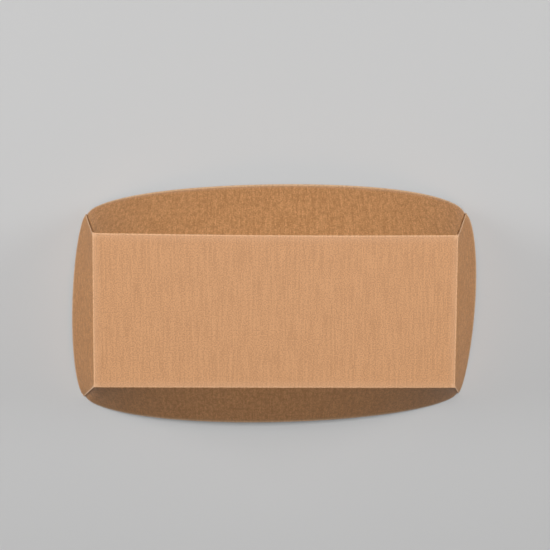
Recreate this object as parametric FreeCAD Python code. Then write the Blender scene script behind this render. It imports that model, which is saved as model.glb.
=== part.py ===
import FreeCAD, Part
import math
import os

# An open tray folded from one sheet of solid board and glued at its four corners.
# It stands rim down on the four corners of its rim, so the outer face of its base is on top.
# The origin is on the surface it stands on, under the middle of the base. X is the long way.
# Lengths are in millimetres and angles in degrees.

# The sheet
BASE_LENGTH = 200.0
BASE_WIDTH = 85.0
WALL_HEIGHT = 40.0
BOARD = 0.5
FOLD_RADIUS = 0.7

# How far a corner of the rim stands out past the corner of the base, both ways. The rim is racked
# a little out of square, so two opposite corners stand out more and the other two less.
CORNER_FLARE = 11.35
RIM_RACK_REACH = 1.1

# How far each wall leans out of upright at its middle, where it is bowed out the most
BACK_LEAN_ANGLE = 45.8
FRONT_LEAN_ANGLE = 40.5
LEFT_LEAN_ANGLE = 27.0
RIGHT_LEAN_ANGLE = 27.4

# How much each bow is drawn towards +X or +Y, as a share of the bow
BACK_DRAW_SHARE = 0.13
FRONT_DRAW_SHARE = -0.14
LEFT_DRAW_SHARE = -0.25
RIGHT_DRAW_SHARE = 0.33

# The back wall leans out so far that it pulls the middle of its crease in
BACK_CREASE_BOW = 0.8

# A bow follows an ellipse from corner to corner, cut off just short of its ends
ELLIPSE_REACH_RATIO = 1.016

# The glued corners: the long walls end in tabs, which lie inside the short walls
TAB_WIDTH = 15.0
TAB_FOLD_CLEARANCE = 2.0
TAB_RIM_CLEARANCE = 1.2
TAB_TAPER = 3.0
# The gap between a short wall's cut end and the fold behind it closes towards the rim
SEAM_GAP = 0.4
RIM_SEAM_GAP = 0.15
SEAM_FOLD_REACH = 0.6
# How far past both faces of the board the corner of the plain walls is cut away for these parts
SEAM_ROOM = 1.0

# The strip of the base that each wall is modelled with
LIP = 5.0
# The cross sections of a wall and a tab, and how many of a wall's a glued corner takes up
WALL_SECTIONS = 31
TAB_SECTIONS = 6
LONG_WALL_SEAM_SECTIONS = 3
SHORT_WALL_SEAM_SECTIONS = 3
# A step along a wall, to tell which way it runs
NUDGE = 0.001

RIM_DEPTH = math.sqrt(WALL_HEIGHT ** 2 - CORNER_FLARE ** 2)
# The tray stands on the folds at the corners of its rim, whose inner edges hang a little lower
TOP = RIM_DEPTH + BOARD / 2


def slope(lean):
    """How far one millimetre of a leaning wall runs out, and how far down."""
    return math.sin(math.radians(lean)), math.cos(math.radians(lean))


def fold_spread(lean):
    """How far a fold of radius 1, from the flat base to a wall of this lean, reaches from its crease."""
    return math.tan(math.radians(90 - lean) / 2)


def section_place(index):
    """Where a wall's cross section lies, from -1 at one corner to 1 at the other. The sections lie
    closer together towards the corners, where the bow turns in."""
    return math.sin(math.pi * (index / (WALL_SECTIONS - 1) - 0.5))


class Wall:
    """A wall: where its crease lies, the way it faces, and how it is bowed."""

    def __init__(self, half_crease, distance, along, outward, lean, draw, crease_bow=0):
        self.half_crease = half_crease
        self.distance = distance
        self.along = along
        self.outward = outward
        self.lean = lean
        self.draw = draw
        self.crease_bow = crease_bow

    def flare_at(self, place):
        """How far the rim would stand out at a place if the wall weren't bowed."""
        return CORNER_FLARE + RIM_RACK_REACH * place * (self.outward.x + self.outward.y)

    def height_at(self, place):
        """All four corners of the rim are equally deep, so the height follows the flare."""
        return math.hypot(RIM_DEPTH, self.flare_at(place))

    def lean_at(self, place):
        unbowed = math.degrees(math.atan2(self.flare_at(place), RIM_DEPTH))
        cut_off = math.sqrt(ELLIPSE_REACH_RATIO ** 2 - 1)
        arch = (math.sqrt(ELLIPSE_REACH_RATIO ** 2 - place ** 2) - cut_off) / (ELLIPSE_REACH_RATIO - cut_off)
        return unbowed + (self.lean - unbowed) * arch * (1 + self.draw * place)

    def point(self, place, out, down):
        """A point of the cross section at a place, out from the crease and down from the base."""
        rim_out = self.height_at(place) * slope(self.lean_at(place))[0]
        sideways = place * (self.half_crease + self.flare_at(place) * out / rim_out)
        outwards = self.distance - self.crease_bow * (1 - place ** 2) + out
        return self.along * sideways + self.outward * outwards + FreeCAD.Vector(0, 0, TOP - down)

    def board_point(self, place, height, depth):
        """A point in the wall's board: height is from the crease, depth from the outer face."""
        out, down = slope(self.lean_at(place))
        return self.point(place, height * out - depth * down, height * down + depth * out)

    def rim_point(self, place, depth):
        return self.board_point(place, self.height_at(place), depth)

    def level_point(self, place, down, depth):
        """A point in the wall's board this far below the base."""
        run_out, run_down = slope(self.lean_at(place))
        return self.point(place, (down * run_out - depth) / run_down, down)


def line(start, end):
    return Part.LineSegment(start, end).toShape()


def bend(start, peak, end):
    """A rounded corner that leaves both of its sides smoothly."""
    curve = Part.BezierCurve()
    curve.setPoles([start, peak, end])
    return curve.toShape()


def closed_outline(points):
    return Part.makePolygon(points + points[:1])


def wall_section(wall, place):
    """The folded board cut across the wall: a strip of the base, the fold, and the wall to its rim."""
    spread = fold_spread(wall.lean_at(place))
    outer_reach = (FOLD_RADIUS + BOARD) * spread
    # The inner fold ends beside the outer one, and its own crease is where the inner faces meet
    outer_start = wall.point(place, -outer_reach, 0)
    outer_end = wall.board_point(place, outer_reach, 0)
    inner_start = wall.point(place, -outer_reach, BOARD)
    inner_end = wall.board_point(place, outer_reach, BOARD)
    rim_outer = wall.rim_point(place, 0)
    rim_inner = wall.rim_point(place, BOARD)
    lip_outer = wall.point(place, -LIP, 0)
    lip_inner = wall.point(place, -LIP, BOARD)
    return Part.Wire([
        line(lip_outer, outer_start),
        bend(outer_start, wall.point(place, 0, 0), outer_end),
        line(outer_end, rim_outer),
        line(rim_outer, rim_inner),
        line(rim_inner, inner_end),
        bend(inner_end, wall.point(place, -BOARD * spread, BOARD), inner_start),
        line(inner_start, lip_inner),
        line(lip_inner, lip_outer),
    ])


def wall_solid(wall):
    places = [section_place(i) for i in range(WALL_SECTIONS)]
    return Part.makeLoft([wall_section(wall, place) for place in places], True, False)


def square_to(direction, step):
    """The part of a step that is square to a direction."""
    return step - direction * step.dot(direction)


def mitred(first, second):
    """How far a corner moves in when its two sides move in by these steps."""
    return (first + second) / (1 + first.dot(second) / (first.Length * second.Length))


def trimmed(part, rim):
    """A part of a corner, cut off along the plane through three points of the rim."""
    first, second, third = rim
    down = (second - first).cross(third - first).normalize()
    if down.z > 0:
        down = -down
    return part.cut(Part.makeCylinder(2 * TAB_WIDTH, TAB_WIDTH, first, down))


class GluedCorner:
    """A corner of the tray, where the long wall's end folds in to a tab inside the short wall."""

    def __init__(self, long_wall, long_side, short_wall, short_side):
        self.long_wall = long_wall
        self.short_wall = short_wall
        self.long_side = long_side
        self.short_side = short_side
        self.long_place = -long_side * section_place(LONG_WALL_SEAM_SECTIONS)
        self.short_place = -short_side * section_place(SHORT_WALL_SEAM_SECTIONS)
        self.top = (FOLD_RADIUS + 2 * BOARD) * fold_spread(long_wall.lean_at(long_side))

    def room_outline(self, down):
        """The room that the corner's own parts take, cut level. It ends at both walls' sections."""
        outside = -SEAM_ROOM
        inside = BOARD + SEAM_ROOM
        corner = self.short_wall.level_point(self.short_side, down, 0)
        return closed_outline([
            self.long_wall.level_point(self.long_place, down, outside),
            self.long_wall.level_point(self.long_place, down, inside),
            self.short_wall.level_point(self.short_place, down, inside),
            self.short_wall.level_point(self.short_place, down, outside),
            corner + (self.long_wall.outward + self.short_wall.outward) * SEAM_ROOM,
        ])

    def room(self):
        return Part.makeLoft([self.room_outline(self.top), self.room_outline(WALL_HEIGHT)], True, True)

    def outlines(self, down, gap):
        """The short wall's cut end, and the end of the long wall with its fold, cut level."""
        corner = self.short_wall.level_point(self.short_side, down, 0)
        short_outer = self.short_wall.level_point(self.short_place, down, 0)
        short_inner = self.short_wall.level_point(self.short_place, down, BOARD)
        long_outer = self.long_wall.level_point(self.long_place, down, 0)
        long_inner = self.long_wall.level_point(self.long_place, down, BOARD)
        short_run = (corner - short_outer).normalize()
        short_through = square_to(short_run, short_inner - short_outer)
        cut_end = closed_outline([short_outer, corner, corner + short_through, short_inner])

        # The long wall leaves its last section smoothly and heads for the crease of its tab
        just_on = self.long_wall.level_point(self.long_place + self.long_side * NUDGE, down, 0)
        long_run = (just_on - long_outer).normalize()
        crease = corner + short_through * (1 + gap / BOARD)
        turn = long_outer + long_run * (crease - long_outer).Length / 2
        last_run = (crease - turn).normalize()
        long_through = square_to(long_run, long_inner - long_outer)
        last_through = square_to(last_run, long_inner - long_outer)
        fold_start = crease - last_run * SEAM_FOLD_REACH
        fold_end = crease - short_run * SEAM_FOLD_REACH
        glued = self.short_wall.level_point(self.short_place, down, BOARD / 2)
        tab_inner = self.short_wall.level_point(self.short_place, down, 2 * BOARD)
        fold = Part.Wire([
            bend(long_outer, turn, fold_start),
            bend(fold_start, crease, fold_end),
            line(fold_end, glued),
            line(glued, tab_inner),
            bend(tab_inner, crease + mitred(last_through, short_through), fold_start + last_through),
            bend(fold_start + last_through, turn + mitred(long_through, last_through), long_inner),
            line(long_inner, long_outer),
        ])
        return cut_end, fold

    def parts(self):
        """The cut end, the fold and the tab, each from the fold at the base down to the rim."""
        upper_end, upper_fold = self.outlines(self.top, SEAM_GAP)
        lower_end, lower_fold = self.outlines(TOP, RIM_SEAM_GAP)
        corner_rim = self.short_wall.rim_point(self.short_side, 0)
        short_rim = [self.short_wall.rim_point(self.short_place, depth) for depth in (0, BOARD)]
        long_rim = [self.long_wall.rim_point(self.long_place, depth) for depth in (0, BOARD)]
        cut_end = Part.makeLoft([upper_end, lower_end], True, True)
        fold = Part.makeLoft([upper_fold, lower_fold], True, True)
        return [
            trimmed(cut_end, short_rim + [corner_rim]),
            trimmed(trimmed(fold, long_rim + [corner_rim]), short_rim + [corner_rim]),
            self.tab(),
        ]

    def tab_section(self, share):
        """The tab cut across, at a share of its width. Its outer half lies in the short wall."""
        start = abs(self.short_place)
        end = 1 - TAB_WIDTH / self.short_wall.half_crease
        place = self.short_side * (start + (end - start) * share)
        near = TAB_FOLD_CLEARANCE + TAB_TAPER * share
        far = WALL_HEIGHT - TAB_RIM_CLEARANCE - TAB_TAPER * share
        return closed_outline([
            self.short_wall.board_point(place, near, BOARD / 2),
            self.short_wall.board_point(place, far, BOARD / 2),
            self.short_wall.board_point(place, far, 2 * BOARD),
            self.short_wall.board_point(place, near, 2 * BOARD),
        ])

    def tab(self):
        shares = [i / (TAB_SECTIONS - 1) for i in range(TAB_SECTIONS)]
        return Part.makeLoft([self.tab_section(share) for share in shares], True, False)


X = FreeCAD.Vector(1, 0, 0)
Y = FreeCAD.Vector(0, 1, 0)
half_length = BASE_LENGTH / 2
half_width = BASE_WIDTH / 2
back = Wall(half_length, half_width, X, Y, BACK_LEAN_ANGLE, BACK_DRAW_SHARE, BACK_CREASE_BOW)
front = Wall(half_length, half_width, X, -Y, FRONT_LEAN_ANGLE, FRONT_DRAW_SHARE)
left = Wall(half_width, half_length, Y, -X, LEFT_LEAN_ANGLE, LEFT_DRAW_SHARE)
right = Wall(half_width, half_length, Y, X, RIGHT_LEAN_ANGLE, RIGHT_DRAW_SHARE)

base = Part.makeBox(BASE_LENGTH - LIP, BASE_WIDTH - LIP, BOARD)
base.translate(FreeCAD.Vector(-(BASE_LENGTH - LIP) / 2, -(BASE_WIDTH - LIP) / 2, TOP - BOARD))
panels = [wall_solid(wall) for wall in (back, front, left, right)]
corners = [
    GluedCorner(back, -1, left, 1),
    GluedCorner(back, 1, right, 1),
    GluedCorner(front, -1, left, -1),
    GluedCorner(front, 1, right, -1),
]

rooms = Part.makeCompound([corner.room() for corner in corners])
sheet = base.fuse(panels).cut(rooms)
tray = sheet.fuse([part for corner in corners for part in corner.parts()]).removeSplitter()
print("one solid:", len(tray.Solids) == 1, "valid:", tray.isValid(), "volume:", round(tray.Volume, 1))

print("height of the base:", round(TOP, 4))

os.makedirs("parts", exist_ok=True)
tray.exportStep("parts/tray.step")
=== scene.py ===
# %% [markdown]
# # An open tray of plain brown board
# The tray is one sheet of solid board. It was cut out flat, creased, folded up on four sides and glued at
# its corners, and its walls have bowed outwards since. It stands rim down, so the outer face of its base
# is on top, and the camera looks down on it. The shape comes from the CAD model, which is already true to
# the real sheet. Blender's work here is the board itself: its fibres, its creases and its raw cut edges.

# %% The frame
import math
import bpy
from mathutils import Matrix, Vector


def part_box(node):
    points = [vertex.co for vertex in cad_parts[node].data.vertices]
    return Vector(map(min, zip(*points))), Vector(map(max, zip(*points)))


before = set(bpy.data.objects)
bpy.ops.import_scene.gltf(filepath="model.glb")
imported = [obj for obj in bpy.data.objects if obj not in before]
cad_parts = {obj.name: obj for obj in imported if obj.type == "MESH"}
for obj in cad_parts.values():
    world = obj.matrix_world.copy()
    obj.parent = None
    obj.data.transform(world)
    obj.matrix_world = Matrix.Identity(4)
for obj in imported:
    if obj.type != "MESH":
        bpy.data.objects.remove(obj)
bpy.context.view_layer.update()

MM = 0.001
low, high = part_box("tray")
print("tray box in mm:", [round(v / MM, 1) for v in (*low, *high)])

# %% [markdown]
# ## The camera
# A photograph can be matched by eye, by moving the camera until the outlines agree. It is quicker and
# surer to work it out: the four corners of the base and the four corners of the rim were found in the
# picture, and the camera was solved so that the same eight points of the model fall on them. What comes
# out is where the eye is, what it looks at, a small roll, and how much the picture was cropped off centre,
# which is the lens shift.

# %% The camera
EYE = Vector((-10.2, 51.3, 552.5)) * MM
AIM = Vector((4.9, 10.0, 38.6)) * MM
ROLL = math.radians(0.39)
SENSOR_WIDTH_MM = 36
FRAME_PIXELS = 550
FOCAL_PIXELS = 940
MIDDLE_X_PIXELS = 284.9
MIDDLE_Y_PIXELS = 293.2


def looking(eye, aim):
    """The matrix of a camera or lamp at one point that looks at another, with +Y up in its view."""
    forward = (aim - eye).normalized()
    side = forward.cross(Vector((0, 1, 0))).normalized()
    up = side.cross(forward)
    return Matrix.Translation(eye) @ Matrix((side, up, -forward)).transposed().to_4x4()


camera_data = bpy.data.cameras.new("camera")
camera_data.sensor_width = SENSOR_WIDTH_MM
camera_data.lens = SENSOR_WIDTH_MM * FOCAL_PIXELS / FRAME_PIXELS
camera_data.shift_x = (FRAME_PIXELS / 2 - MIDDLE_X_PIXELS) / FRAME_PIXELS
camera_data.shift_y = (MIDDLE_Y_PIXELS - FRAME_PIXELS / 2) / FRAME_PIXELS
camera = bpy.data.objects.new("camera", camera_data)
bpy.context.scene.collection.objects.link(camera)
camera.matrix_world = looking(EYE, AIM) @ Matrix.Rotation(ROLL, 4, "Z")
bpy.context.scene.camera = camera
print("lens in mm:", round(camera_data.lens, 1), "shift:", round(camera_data.shift_x, 3),
      round(camera_data.shift_y, 3))

# %% [markdown]
# ## The light
# The base is the brightest part and has a faint white gloss. The wall at the top of the picture comes next,
# then both end walls, and the wall at the bottom is in shade. So most of the light comes from nearly
# overhead, a little behind the top wall, and the rest from low on both sides, the left more than the right.
# Three soft boxes do that. An area lamp lights a white card at a plain level when its power is pi squared
# times its distance squared, so each lamp's strength is written as its share of that level, and the light
# that reaches the base comes to about one.

# %% Soft boxes
LAMP_DISTANCE = 1.15
BOX_SIZE = 0.55
# Each box's angle in degrees round from +X towards +Y, its height in degrees, and its share of the light
SOFT_BOXES = (("top box", 90, 79, 0.67), ("left box", 165, 20, 0.43), ("right box", 15, 20, 0.36))


def soft_box(name, turn, height, share):
    """A square lamp on a dome around the tray."""
    heading = Vector((math.cos(height) * math.cos(turn), math.cos(height) * math.sin(turn), math.sin(height)))
    data = bpy.data.lights.new(name, "AREA")
    data.shape = "SQUARE"
    data.size = BOX_SIZE
    data.energy = share * (math.pi * LAMP_DISTANCE) ** 2
    lamp = bpy.data.objects.new(name, data)
    bpy.context.scene.collection.objects.link(lamp)
    lamp.matrix_world = looking(heading * LAMP_DISTANCE, Vector((0, 0, 0)))
    print(name, "power in watts:", round(data.energy, 2))


for box_name, turn_degrees, height_degrees, light_share in SOFT_BOXES:
    soft_box(box_name, math.radians(turn_degrees), math.radians(height_degrees), light_share)

# %% [markdown]
# ## The room and the floor
# The room and the floor are pale where the camera sees them, and where a gloss mirrors them. The light that
# the room gives and the light that bounces off the floor are set apart from that and are much dimmer, so
# that the wall in shade stays in shade. A pale floor lit by the lamps alone would throw as much light back as
# it shows, and the shade would fill in. The Light Path node keeps the two apart, because it tells what kind
# of ray asks for the colour. The soft boxes light the floor only round the tray, and that part keeps the
# tray's shadow. Further out the floor passes over into the room's own level.

# %% An empty room, and helpers for nodes
def add_node(tree, kind, **settings):
    node = tree.nodes.new(kind)
    for name, value in settings.items():
        setattr(node, name, value)
    return node


def feed(tree, socket, value):
    """Links a socket to another node's output, or writes a plain value into it."""
    if isinstance(value, bpy.types.NodeSocket):
        tree.links.new(value, socket)
    else:
        socket.default_value = value


def maths(tree, operation, *values):
    node = add_node(tree, "ShaderNodeMath", operation=operation)
    for socket, value in zip(node.inputs, values):
        feed(tree, socket, value)
    return node.outputs[0]


world = bpy.data.worlds.new("room")
bpy.context.scene.world = world
world.use_nodes = True
room_tree = world.node_tree
print("nodes of the empty room:", [node.name for node in room_tree.nodes])

# %% The room
WHITE = (1, 1, 1, 1)
PALE = 0.57
ROOM_LIGHT = 0.03


def seen_or_mirrored(tree):
    """1 where the camera, a gloss or a glass looks at the surface, and 0 where only light falls on it."""
    light_path = add_node(tree, "ShaderNodeLightPath")
    seen = maths(tree, "MAXIMUM", light_path.outputs["Is Camera Ray"], light_path.outputs["Is Glossy Ray"])
    return maths(tree, "MAXIMUM", seen, light_path.outputs["Is Transmission Ray"])


def mixed_shader(tree, factor, first, second):
    """The first shader where the factor is 0, and the second where it is 1."""
    node = add_node(tree, "ShaderNodeMixShader")
    for socket, value in zip(node.inputs, (factor, first, second)):
        tree.links.new(value, socket)
    return node.outputs[0]


dim_room = room_tree.nodes["Background"]
pale_room = add_node(room_tree, "ShaderNodeBackground")
for background, level in ((dim_room, ROOM_LIGHT), (pale_room, PALE)):
    background.inputs["Color"].default_value = WHITE
    background.inputs["Strength"].default_value = level
room = mixed_shader(room_tree, seen_or_mirrored(room_tree), dim_room.outputs[0], pale_room.outputs[0])
room_tree.links.new(room, room_tree.nodes["World Output"].inputs["Surface"])
print("nodes of the room:", len(room_tree.nodes))

# %% The floor
FLOOR_SIZE = 40
FLOOR_PAINT = (0.60, 0.60, 0.60, 1)
FLOOR_ROUGHNESS = 0.8
BOUNCING_PAINT = (0.11, 0.11, 0.11, 1)
# Between these two distances from the tray's middle, in metres, the paint passes over into the room's level
LIT_FLOOR = 0.25
UNLIT_FLOOR = 1.1


def new_material(name):
    material = bpy.data.materials.new(name)
    material.use_nodes = True
    return material, material.node_tree, material.node_tree.nodes["Principled BSDF"]


def map_range(tree, value, start, end, low_value=0.0, high_value=1.0):
    """Eases from the low value at the start to the high value at the end. The start may be the larger."""
    node = add_node(tree, "ShaderNodeMapRange", interpolation_type="SMOOTHSTEP")
    for name, given in (("Value", value), ("From Min", start), ("From Max", end),
                        ("To Min", low_value), ("To Max", high_value)):
        feed(tree, node.inputs[name], given)
    return node.outputs["Result"]


bpy.ops.object.select_all(action="DESELECT")
bpy.ops.mesh.primitive_plane_add(size=FLOOR_SIZE, location=(0, 0, 0))
floor = bpy.context.object
floor.name = "floor"
print("floor in metres:", [round(side, 2) for side in floor.dimensions])

# %% Paint on the floor
floor_paint, floor_tree, floor_shader = new_material("floor paint")
floor_shader.inputs["Base Color"].default_value = FLOOR_PAINT
floor_shader.inputs["Roughness"].default_value = FLOOR_ROUGHNESS
dim_floor = add_node(floor_tree, "ShaderNodeBsdfDiffuse")
dim_floor.inputs["Color"].default_value = BOUNCING_PAINT
far_floor = add_node(floor_tree, "ShaderNodeEmission")
far_floor.inputs["Strength"].default_value = PALE
from_tray = add_node(floor_tree, "ShaderNodeVectorMath", operation="LENGTH")
floor_tree.links.new(add_node(floor_tree, "ShaderNodeTexCoord").outputs["Object"], from_tray.inputs[0])
far_away = map_range(floor_tree, from_tray.outputs["Value"], LIT_FLOOR, UNLIT_FLOOR)
pale_floor = mixed_shader(floor_tree, far_away, floor_shader.outputs[0], far_floor.outputs[0])
floor_mix = mixed_shader(floor_tree, seen_or_mirrored(floor_tree), dim_floor.outputs[0], pale_floor)
floor_tree.links.new(floor_mix, floor_tree.nodes["Material Output"].inputs["Surface"])
floor.data.materials.append(floor_paint)
print("nodes of the floor:", len(floor_tree.nodes))

# %% [markdown]
# ## Where each point was on the flat sheet
# Board is made as a long web, and its fibres lie mostly along the web. When the tray was still flat they
# all ran the same way, across the short way of the base. Folding turned the walls, and the fibres with
# them: on the long walls they now run up the wall, and on the end walls they run along it. A picture
# painted on an unfolded mesh would show that, but it needs an unwrapped copy. The folding here is simple
# enough to undo with arithmetic: a wall's point is as far from its crease as it was on the flat sheet, so
# that distance, added to the base's half length or half width, is its old place. The same sums tell how
# far a point is from a crease, from the rim and from a glued corner, which the creases and the cut edges
# need later.

# %% The flat sheet
HALF_LENGTH_MM = 100.0
HALF_WIDTH_MM = 42.5
TOP_MM = 38.606
WALL_HEIGHT_MM = 40.0
# The crease of the wall at the back is pulled in at its middle, over this half length
BACK_CREASE_BOW_MM = 0.8
BACK_HALF_BOW_MM = 106.0
# The rim is racked out of square, so at two opposite corners the walls reach a little further
RIM_RACK_PER_MM2 = 5.25e-5

flat_sheet = bpy.data.node_groups.new("flat sheet", "ShaderNodeTree")
flat_sheet.interface.new_socket("Place", in_out="INPUT", socket_type="NodeSocketVector")
flat_sheet.interface.new_socket("Flat place", in_out="OUTPUT", socket_type="NodeSocketVector")
for distance_name in ("Past crease", "From rim", "Past corner"):
    flat_sheet.interface.new_socket(distance_name, in_out="OUTPUT", socket_type="NodeSocketFloat")
sheet_in = add_node(flat_sheet, "NodeGroupInput")
sheet_out = add_node(flat_sheet, "NodeGroupOutput")


def sheet_maths(operation, *values):
    return maths(flat_sheet, operation, *values)


in_mm = add_node(flat_sheet, "ShaderNodeVectorMath", operation="SCALE")
in_mm.inputs["Scale"].default_value = 1 / MM
flat_sheet.links.new(sheet_in.outputs["Place"], in_mm.inputs[0])
apart = add_node(flat_sheet, "ShaderNodeSeparateXYZ")
flat_sheet.links.new(in_mm.outputs[0], apart.inputs[0])
x, y, z = apart.outputs
print("nodes so far:", len(flat_sheet.nodes))

# %% How far a point is past each crease
# The back crease is pulled in as a parabola. The other three are straight.
along_back = sheet_maths("DIVIDE", x, BACK_HALF_BOW_MM)
back_arch = sheet_maths("SUBTRACT", 1.0, sheet_maths("MULTIPLY", along_back, along_back))
at_back = sheet_maths("GREATER_THAN", y, 0.0)
back_arch = sheet_maths("MULTIPLY", sheet_maths("MAXIMUM", back_arch, 0.0), at_back)
back_bow = sheet_maths("MULTIPLY", back_arch, BACK_CREASE_BOW_MM)
past_long = sheet_maths("ADD", sheet_maths("SUBTRACT", sheet_maths("ABSOLUTE", y), HALF_WIDTH_MM), back_bow)
past_short = sheet_maths("SUBTRACT", sheet_maths("ABSOLUTE", x), HALF_LENGTH_MM)
past = sheet_maths("MAXIMUM", past_long, past_short)
past_corner = sheet_maths("SUBTRACT", past_short, past_long)
out = sheet_maths("MAXIMUM", past, 0.0)
drop = sheet_maths("SUBTRACT", TOP_MM, z)
out_squared = sheet_maths("MULTIPLY", out, out)
drop_squared = sheet_maths("MULTIPLY", drop, drop)
up_wall = sheet_maths("SQRT", sheet_maths("ADD", out_squared, drop_squared))
# On a wall this is the distance from its crease, and on the base it is below 0
past_crease = sheet_maths("ADD", up_wall, sheet_maths("MINIMUM", past, 0.0))
print("nodes so far:", len(flat_sheet.nodes))

# %% The unfolded place
on_wall = sheet_maths("GREATER_THAN", past, 0.0)
on_short = sheet_maths("MULTIPLY", on_wall, sheet_maths("GREATER_THAN", past_corner, 0.0))
on_long = sheet_maths("SUBTRACT", on_wall, on_short)


def unfolded(coordinate, half_base, share):
    """A coordinate on the flat sheet: unchanged, or on this wall its distance past the crease."""
    opened = sheet_maths("MULTIPLY", sheet_maths("SIGN", coordinate), sheet_maths("ADD", up_wall, half_base))
    shift = sheet_maths("MULTIPLY", share, sheet_maths("SUBTRACT", opened, coordinate))
    return sheet_maths("ADD", coordinate, shift)


flat_place = add_node(flat_sheet, "ShaderNodeCombineXYZ")
flat_sheet.links.new(unfolded(x, HALF_LENGTH_MM, on_short), flat_place.inputs["X"])
flat_sheet.links.new(unfolded(y, HALF_WIDTH_MM, on_long), flat_place.inputs["Y"])
rack = sheet_maths("MULTIPLY", sheet_maths("MULTIPLY", x, y), RIM_RACK_PER_MM2)
from_rim = sheet_maths("SUBTRACT", sheet_maths("ADD", rack, WALL_HEIGHT_MM), up_wall)
for output_name, found in (("Flat place", flat_place.outputs[0]), ("Past crease", past_crease),
                           ("From rim", from_rim), ("Past corner", past_corner)):
    flat_sheet.links.new(found, sheet_out.inputs[output_name])
print("nodes of the flat sheet:", len(flat_sheet.nodes))

# %% [markdown]
# ## Fibres
# Seen close, kraft board is a felt of wood fibres. The finest variation in it is a speckle of under a
# millimetre, where fibres lie closer or further apart. Drawn out along the web it becomes faint streaks.
# Over a centimetre or so the sheet is cloudier here and there, because the pulp never spreads quite evenly.
# Now and then there is a dark fleck of bark. A mottle of about two millimetres is kept apart, because only
# the walls get it, where it is both texture and painted shade. A picture of real board could be laid on
# instead, but close up it would blur, and on a larger sheet it would repeat. Noise does neither. One group
# makes all of it from the flat place, so that it runs on unbroken over every fold. It gives a tone for the
# colour, a relief for the bump and the ragged edges of the wear and the painted highlights, and a mask each
# for the mottle and the flecks.

# %% Fibres
SPECKLE_PER_MM = 1.45
STREAK_PER_MM = 0.9
STREAK_LENGTHENING = 18.0
CLOUD_PER_MM = 0.09
MOTTLE_PER_MM = 0.5
MOTTLE_LENGTHENING = 1.7

fibres = bpy.data.node_groups.new("fibres", "ShaderNodeTree")
fibres.interface.new_socket("Flat place", in_out="INPUT", socket_type="NodeSocketVector")
for fibre_name in ("Tone", "Relief", "Mottle", "Fleck"):
    fibres.interface.new_socket(fibre_name, in_out="OUTPUT", socket_type="NodeSocketFloat")
fibres_in = add_node(fibres, "NodeGroupInput").outputs["Flat place"]
fibres_out = add_node(fibres, "NodeGroupOutput")


def noise(vector, scale, detail, roughness):
    """A soft flat pattern. Detail adds finer copies of it, and roughness is how much they count."""
    node = add_node(fibres, "ShaderNodeTexNoise", noise_dimensions="2D")
    for name, value in (("Vector", vector), ("Scale", scale), ("Detail", detail), ("Roughness", roughness)):
        feed(fibres, node.inputs[name], value)
    return node.outputs[0]


def drawn_out(lengthening):
    """The flat place, squeezed along the fibres, so that a pattern on it comes out longer that way."""
    node = add_node(fibres, "ShaderNodeVectorMath", operation="MULTIPLY")
    node.inputs[1].default_value = (1, 1 / lengthening, 1)
    fibres.links.new(fibres_in, node.inputs[0])
    return node.outputs[0]


speckle = noise(fibres_in, SPECKLE_PER_MM, detail=3, roughness=0.6)
streaks = noise(drawn_out(STREAK_LENGTHENING), STREAK_PER_MM, detail=2, roughness=0.5)
clouds = noise(fibres_in, CLOUD_PER_MM, detail=3, roughness=0.55)
mottle = noise(drawn_out(MOTTLE_LENGTHENING), MOTTLE_PER_MM, detail=3, roughness=0.8)
fibres.links.new(mottle, fibres_out.inputs["Mottle"])
print("nodes so far:", len(fibres.nodes))

# %% Tone and relief
SPECKLE_SHARE = 0.70
STREAK_SHARE = 0.22
CLOUD_SHARE = 0.08
# The mixed noise lies mostly between these two values, which become the dark and the light tone
EVEN_TONE = (0.42, 0.58)

fine = maths(fibres, "ADD", maths(fibres, "MULTIPLY", speckle, SPECKLE_SHARE),
             maths(fibres, "MULTIPLY", streaks, STREAK_SHARE))
tone = maths(fibres, "ADD", fine, maths(fibres, "MULTIPLY", clouds, CLOUD_SHARE))
fibres.links.new(map_range(fibres, tone, *EVEN_TONE), fibres_out.inputs["Tone"])
fibres.links.new(fine, fibres_out.inputs["Relief"])
print("nodes so far:", len(fibres.nodes))

# %% Flecks of bark
FLECK_PER_MM = 0.42
# The radius of a fleck is a share of the distance between two of them, and only some places have one
FLECK_RADIUS = 0.11
FLECK_RARITY = 0.72

cells = add_node(fibres, "ShaderNodeTexVoronoi", voronoi_dimensions="2D")
cells.inputs["Scale"].default_value = FLECK_PER_MM
fibres.links.new(fibres_in, cells.inputs["Vector"])
cell_colour = add_node(fibres, "ShaderNodeSeparateColor")
fibres.links.new(cells.outputs["Color"], cell_colour.inputs["Color"])
dot = map_range(fibres, cells.outputs["Distance"], FLECK_RADIUS, FLECK_RADIUS / 3)
chosen = maths(fibres, "GREATER_THAN", cell_colour.outputs["Red"], FLECK_RARITY)
fibres.links.new(maths(fibres, "MULTIPLY", dot, chosen), fibres_out.inputs["Fleck"])
print("nodes of the fibres:", len(fibres.nodes))

# %% [markdown]
# ## Kraft board
# The board's colour is a warm brown between two tones, darker in the flecks. On top comes one layer of colour
# after another: what happened to the tray since, and painted light and shade. The base is painted paler, most
# of all near its edges, as a painted sheen for its faint white gloss. The walls have a darker mottle, which
# also paints shade on them. Along the rim the brown has faded. Along a crease the outer fibres were stretched
# and broken as the wall was folded, and the rounded fold catches the light, so a thin uneven line there is
# paler, partly wear and partly a painted highlight. The corners of the base get a painted highlight. The cut
# edges at the rim and at the glued seams were never pressed smooth or sized, and are paler still. Layers like
# this can be painted on by hand. Here the distances from the flat sheet already tell where every crease and
# edge is, so nearly every layer is a mask made from one of them, as wide as its value in millimetres says.
# The finish is matte with a faint sheen.

# %% Kraft board
DARK_KRAFT = (0.475, 0.218, 0.080, 1)
LIGHT_KRAFT = (0.70, 0.350, 0.152, 1)
BARK = (0.25, 0.10, 0.035, 1)


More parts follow.
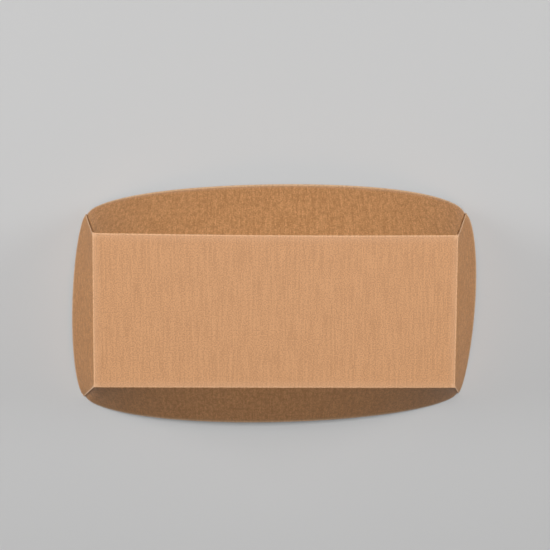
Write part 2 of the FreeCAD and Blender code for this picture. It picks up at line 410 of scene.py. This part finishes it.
def mixed_colour(factor, first, second):
    """The first colour where the factor is 0, and the second where it is 1."""
    node = add_node(kraft_tree, "ShaderNodeMix", data_type="RGBA")
    # A Mix node has its sockets for numbers and vectors too, so its colours are further down the list
    factor_socket, first_socket, second_socket = node.inputs[0], node.inputs[6], node.inputs[7]
    for socket, value in ((factor_socket, factor), (first_socket, first), (second_socket, second)):
        feed(kraft_tree, socket, value)
    return node.outputs[2]


def kraft_maths(operation, *values):
    return maths(kraft_tree, operation, *values)


kraft, kraft_tree, board = new_material("kraft board")
place = add_node(kraft_tree, "ShaderNodeTexCoord").outputs["Object"]
sheet = add_node(kraft_tree, "ShaderNodeGroup", node_tree=flat_sheet)
kraft_tree.links.new(place, sheet.inputs["Place"])
felt = add_node(kraft_tree, "ShaderNodeGroup", node_tree=fibres)
kraft_tree.links.new(sheet.outputs["Flat place"], felt.inputs["Flat place"])
colour = mixed_colour(felt.outputs["Tone"], DARK_KRAFT, LIGHT_KRAFT)
colour = mixed_colour(felt.outputs["Fleck"], colour, BARK)
print("nodes so far:", len(kraft_tree.nodes))

# %% The painted sheen on the base
PAINTED_SHEEN_KRAFT = (0.80, 0.46, 0.27, 1)
CREASE_MIDDLE_MM = -0.3
WALL_START_MM = 0.1
SHEEN_EDGE_WIDTH_MM = 5.0
BASE_SHEEN_SHARE = 0.26
EDGE_SHEEN_SHARE = 0.46

from_crease = kraft_maths("ABSOLUTE", kraft_maths("SUBTRACT", sheet.outputs["Past crease"], CREASE_MIDDLE_MM))
wall_mask = kraft_maths("GREATER_THAN", sheet.outputs["Past crease"], WALL_START_MM)
base_mask = kraft_maths("SUBTRACT", 1.0, wall_mask)
# Painted sheen: the base is painted paler, most of all within a few millimetres of its edges, standing in for
# its faint white gloss
painted_sheen = map_range(kraft_tree, from_crease, SHEEN_EDGE_WIDTH_MM, 0.0, BASE_SHEEN_SHARE, EDGE_SHEEN_SHARE)
colour = mixed_colour(kraft_maths("MULTIPLY", painted_sheen, base_mask), colour, PAINTED_SHEEN_KRAFT)
print("rubbed share of the base and of its edges:", BASE_SHEEN_SHARE, EDGE_SHEEN_SHARE)

# %% The mottle and painted shade on the walls, and the faded rim
MOTTLED_SHADE_KRAFT = (0.36, 0.165, 0.055, 1)
WALL_MOTTLE_RANGE = (0.40, 0.66)
MOTTLE_SHADE_SHARE = 0.6
FADED_KRAFT = (0.56, 0.35, 0.21, 1)
FADED_WIDTH_MM = 4.5
FULLY_FADED_MM = 0.5
FADED_SHARE = 0.5

# Only the walls get this darker mottle. It is texture, and it is also painted shade that makes the walls
# darker than the base
wall_mottle_and_shade = map_range(kraft_tree, felt.outputs["Mottle"], *WALL_MOTTLE_RANGE, 0.0, MOTTLE_SHADE_SHARE)
colour = mixed_colour(kraft_maths("MULTIPLY", wall_mottle_and_shade, wall_mask), colour, MOTTLED_SHADE_KRAFT)
faded = map_range(kraft_tree, sheet.outputs["From rim"], FADED_WIDTH_MM, FULLY_FADED_MM, 0.0, FADED_SHARE)
colour = mixed_colour(faded, colour, FADED_KRAFT)
print("faded band at the rim in mm:", FADED_WIDTH_MM)

# %% Creases and corners, with wear and painted highlights
WEAR_AND_HIGHLIGHT_KRAFT = (0.90, 0.55, 0.32, 1)
# Wear and the painted highlight on creases, and the pale cut edges, follow the fibres: full where the relief
# is high, faint where it is low
RAGGED_RELIEF = (0.34, 0.52)
RAGGED_LEAST = 0.15
CREASE_HALF_WIDTH_MM = 0.55
CREASE_CORE_MM = 0.1
CORNER_HIGHLIGHT_MM = 3.0
CORNER_CORE_MM = 0.3
CORNER_HIGHLIGHT_SHARE = 0.7

ragged = map_range(kraft_tree, felt.outputs["Relief"], *RAGGED_RELIEF, RAGGED_LEAST, 1.0)
# Along a crease a thin line is painted paler: partly stretched fibres, partly a painted highlight where the
# rounded fold catches the light
on_crease = map_range(kraft_tree, from_crease, CREASE_HALF_WIDTH_MM, CREASE_CORE_MM)
from_corner = kraft_maths("ADD", from_crease, kraft_maths("ABSOLUTE", sheet.outputs["Past corner"]))
# At the corners of the base a painted highlight, where the tip of the fold catches the light
corner_highlight = map_range(kraft_tree, from_corner, CORNER_HIGHLIGHT_MM, CORNER_CORE_MM, 0.0, CORNER_HIGHLIGHT_SHARE)
wear_and_highlight = kraft_maths("MAXIMUM", kraft_maths("MULTIPLY", on_crease, ragged), corner_highlight)
colour = mixed_colour(wear_and_highlight, colour, WEAR_AND_HIGHLIGHT_KRAFT)
print("worn line along a crease in mm:", 2 * CREASE_HALF_WIDTH_MM)

# %% Raw cut edges
RAW_EDGE = (0.86, 0.57, 0.35, 1)
RIM_EDGE_MM = 1.8
SEAM_EDGE_MM = 1.4

on_rim = map_range(kraft_tree, sheet.outputs["From rim"], RIM_EDGE_MM, RIM_EDGE_MM / 2)
beside_seam = map_range(kraft_tree, sheet.outputs["Past corner"], SEAM_EDGE_MM, SEAM_EDGE_MM / 2)
# Only the short walls end at a seam, because the long walls run on round the corner
past_seam = kraft_maths("GREATER_THAN", sheet.outputs["Past corner"], 0.0)
on_seam = kraft_maths("MULTIPLY", beside_seam, kraft_maths("MULTIPLY", past_seam, wall_mask))
cut = kraft_maths("MULTIPLY", kraft_maths("MAXIMUM", on_rim, on_seam), ragged)
colour = mixed_colour(cut, colour, RAW_EDGE)
kraft_tree.links.new(colour, board.inputs["Base Color"])
print("nodes so far:", len(kraft_tree.nodes))

# %% Finish and relief of the board
RELIEF_RANGE = (0.3, 0.7)
BOARD_ROUGHNESS = (0.50, 0.62)
BOARD_IOR = 1.3
BUMP_STRENGTH = 1.0
BUMP_DEPTH = 0.22 * MM

roughness = map_range(kraft_tree, felt.outputs["Relief"], *RELIEF_RANGE, *BOARD_ROUGHNESS)
kraft_tree.links.new(roughness, board.inputs["Roughness"])
board.inputs["IOR"].default_value = BOARD_IOR
bump = add_node(kraft_tree, "ShaderNodeBump")
bump.inputs["Strength"].default_value = BUMP_STRENGTH
bump.inputs["Distance"].default_value = BUMP_DEPTH
kraft_tree.links.new(felt.outputs["Relief"], bump.inputs["Height"])
kraft_tree.links.new(bump.outputs["Normal"], board.inputs["Normal"])

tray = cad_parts["tray"]
tray.data.materials.clear()
tray.data.materials.append(kraft)
print("nodes of the board:", len(kraft_tree.nodes))

# %% [markdown]
# ## Last lines
# The picture is shown with the Standard view, so that a colour comes out as it is written.

# %% Last lines
bpy.context.scene.view_settings.view_transform = "Standard"
